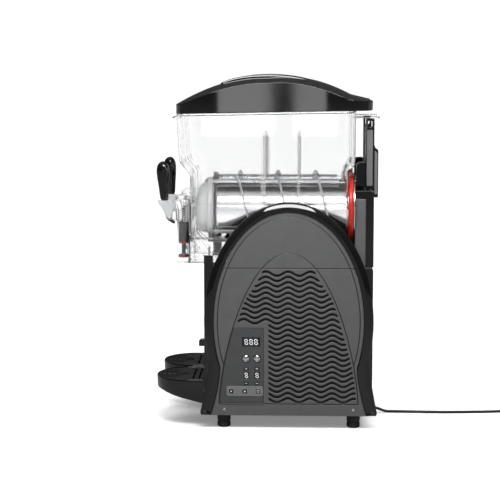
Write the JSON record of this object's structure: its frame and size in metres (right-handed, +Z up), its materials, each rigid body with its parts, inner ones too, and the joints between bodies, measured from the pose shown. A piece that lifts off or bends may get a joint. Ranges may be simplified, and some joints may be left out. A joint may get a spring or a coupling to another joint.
{
  "type": "slush machine",
  "caption": "Countertop frozen-drink dispenser with two clear bowls, augers, lever taps, drip trays and an arched louvred body.",
  "frame": {"origin": "bottom centre of the machine's bounding box, on the surface that the feet stand on", "axes": "+Z up, -Y towards the taps and drip trays, +X towards the side with the control panel"},
  "size_m": [0.406, 1.0032, 0.87],
  "materials": {
    "gloss_black": "injection-moulded black plastic, high gloss",
    "satin_grey": "dark grey metallic plastic, satin",
    "matt_black": "matt black plastic",
    "rubber_black": "black rubber and pvc",
    "zinc_sheet": "zinc-plated sheet steel",
    "fin_aluminium": "thin aluminium fins and blades",
    "stainless": "satin stainless steel drum",
    "auger_white": "milky white food-grade plastic",
    "red_silicone": "red silicone",
    "clear_plastic": "clear polycarbonate, polished",
    "key_chrome": "plated domed push keys",
    "key_black": "soft-touch round keys"
  },
  "bodies": {
    "machine": {"base_pan": "zinc_sheet", "foot_1": "rubber_black", "foot_2": "rubber_black", "foot_3": "rubber_black", "foot_4": "rubber_black", "front_panel": "gloss_black", "rear_panel": "gloss_black", "top_deck": "matt_black", "motor_housing": "satin_grey", "motor_cover": "gloss_black", "side_band_right": "gloss_black", "side_band_left": "gloss_black", "side_cap_right": "satin_grey", "side_cap_left": "satin_grey", "louvre_panel_right": "satin_grey", "louvre_panel_left": "satin_grey", "control_fascia": "satin_grey", "compressor": "matt_black", "condenser": "fin_aluminium", "fan_motor": "matt_black", "cable_gland": "rubber_black", "cord_run": "rubber_black", "cord_coil": "rubber_black", "mains_plug": "rubber_black", "evaporator_right": "stainless", "gearmotor_right": "zinc_sheet", "bowl_gasket_right": "red_silicone", "bowl_right": "clear_plastic", "chute_right": "clear_plastic", "tap_body_right": "clear_plastic", "lid_mast_right": "gloss_black", "evaporator_left": "stainless", "gearmotor_left": "zinc_sheet", "bowl_gasket_left": "red_silicone", "bowl_left": "clear_plastic", "chute_left": "clear_plastic", "tap_body_left": "clear_plastic", "lid_mast_left": "gloss_black"},
    "auger_right": {"auger_right": "auger_white"},
    "tap_lever_right": {"tap_lever_right": "gloss_black"},
    "tap_piston_right": {"tap_piston_right": "gloss_black"},
    "lid_right": {"lid_right": "gloss_black"},
    "drip_tray_right": {"drip_tray_right": "gloss_black"},
    "drip_grille_right": {"drip_grille_right": "gloss_black"},
    "auger_left": {"auger_left": "auger_white"},
    "tap_lever_left": {"tap_lever_left": "gloss_black"},
    "tap_piston_left": {"tap_piston_left": "gloss_black"},
    "lid_left": {"lid_left": "gloss_black"},
    "drip_tray_left": {"drip_tray_left": "gloss_black"},
    "drip_grille_left": {"drip_grille_left": "gloss_black"},
    "fan_blades": {"fan_blades": "fin_aluminium"},
    "speed_key": {"speed_key": "key_chrome"},
    "light_key": {"light_key": "key_chrome"},
    "right_bowl_plus_key": {"right_bowl_plus_key": "matt_black"},
    "right_bowl_minus_key": {"right_bowl_minus_key": "matt_black"},
    "left_bowl_plus_key": {"left_bowl_plus_key": "matt_black"},
    "left_bowl_minus_key": {"left_bowl_minus_key": "matt_black"},
    "start_key": {"start_key": "key_black"},
    "mode_key": {"mode_key": "key_black"},
    "power_key": {"power_key": "key_black"}
  },
  "joints": [
    {"name": "auger_spin_right", "type": "hinge", "parent": "machine", "child": "auger_right", "pos_m": [0.098, 0.05525, 0.54], "axis": [0, 1, 0], "continuous": true},
    {"name": "tap_pull_right", "type": "hinge", "parent": "machine", "child": "tap_lever_right", "pos_m": [0.098, -0.24475, 0.516], "axis": [1, 0, 0], "range_deg": [0, 45], "stiffness_Nm_per_rad": 0.6, "springref_deg": -20.05},
    {"name": "tap_lift_right", "type": "slide", "parent": "machine", "child": "tap_piston_right", "axis": [0, 0, 1], "range_m": [0, 0.018]},
    {"name": "lid_lift_right", "type": "slide", "parent": "machine", "child": "lid_right", "axis": [0, 0, 1], "range_m": [0, 0.15]},
    {"name": "tray_pull_right", "type": "slide", "parent": "machine", "child": "drip_tray_right", "axis": [0, -1, 0], "range_m": [0, 0.1]},
    {"name": "grille_lift_right", "type": "slide", "parent": "drip_tray_right", "child": "drip_grille_right", "axis": [0, 0, 1], "range_m": [0, 0.05]},
    {"name": "auger_spin_left", "type": "hinge", "parent": "machine", "child": "auger_left", "pos_m": [-0.098, 0.05525, 0.54], "axis": [0, 1, 0], "continuous": true},
    {"name": "tap_pull_left", "type": "hinge", "parent": "machine", "child": "tap_lever_left", "pos_m": [-0.098, -0.24475, 0.516], "axis": [1, 0, 0], "range_deg": [0, 45], "stiffness_Nm_per_rad": 0.6, "springref_deg": -20.05},
    {"name": "tap_lift_left", "type": "slide", "parent": "machine", "child": "tap_piston_left", "axis": [0, 0, 1], "range_m": [0, 0.018]},
    {"name": "lid_lift_left", "type": "slide", "parent": "machine", "child": "lid_left", "axis": [0, 0, 1], "range_m": [0, 0.15]},
    {"name": "tray_pull_left", "type": "slide", "parent": "machine", "child": "drip_tray_left", "axis": [0, -1, 0], "range_m": [0, 0.1]},
    {"name": "grille_lift_left", "type": "slide", "parent": "drip_tray_left", "child": "drip_grille_left", "axis": [0, 0, 1], "range_m": [0, 0.05]},
    {"name": "fan_spin", "type": "hinge", "parent": "machine", "child": "fan_blades", "pos_m": [0.117, 0.13325, 0.185], "axis": [1, 0, 0], "continuous": true},
    {"name": "speed_key_press", "type": "slide", "parent": "machine", "child": "speed_key", "axis": [-1, 0, 0], "range_m": [0, 0.001], "stiffness_N_per_m": 400},
    {"name": "light_key_press", "type": "slide", "parent": "machine", "child": "light_key", "axis": [-1, 0, 0], "range_m": [0, 0.001], "stiffness_N_per_m": 400},
    {"name": "right_bowl_plus_key_press", "type": "slide", "parent": "machine", "child": "right_bowl_plus_key", "axis": [-1, 0, 0], "range_m": [0, 0.001], "stiffness_N_per_m": 400},
    {"name": "right_bowl_minus_key_press", "type": "slide", "parent": "machine", "child": "right_bowl_minus_key", "axis": [-1, 0, 0], "range_m": [0, 0.001], "stiffness_N_per_m": 400},
    {"name": "left_bowl_plus_key_press", "type": "slide", "parent": "machine", "child": "left_bowl_plus_key", "axis": [-1, 0, 0], "range_m": [0, 0.001], "stiffness_N_per_m": 400},
    {"name": "left_bowl_minus_key_press", "type": "slide", "parent": "machine", "child": "left_bowl_minus_key", "axis": [-1, 0, 0], "range_m": [0, 0.001], "stiffness_N_per_m": 400},
    {"name": "start_key_press", "type": "slide", "parent": "machine", "child": "start_key", "axis": [-1, 0, 0], "range_m": [0, 0.001], "stiffness_N_per_m": 400},
    {"name": "mode_key_press", "type": "slide", "parent": "machine", "child": "mode_key", "axis": [-1, 0, 0], "range_m": [0, 0.001], "stiffness_N_per_m": 400},
    {"name": "power_key_press", "type": "slide", "parent": "machine", "child": "power_key", "axis": [-1, 0, 0], "range_m": [0, 0.001], "stiffness_N_per_m": 400}
  ],
  "couplings": [
    {"joint": "tap_lift_right", "follows": "tap_pull_right", "m_per_rad": 0.022},
    {"joint": "tap_lift_left", "follows": "tap_pull_left", "m_per_rad": 0.022}
  ]
}
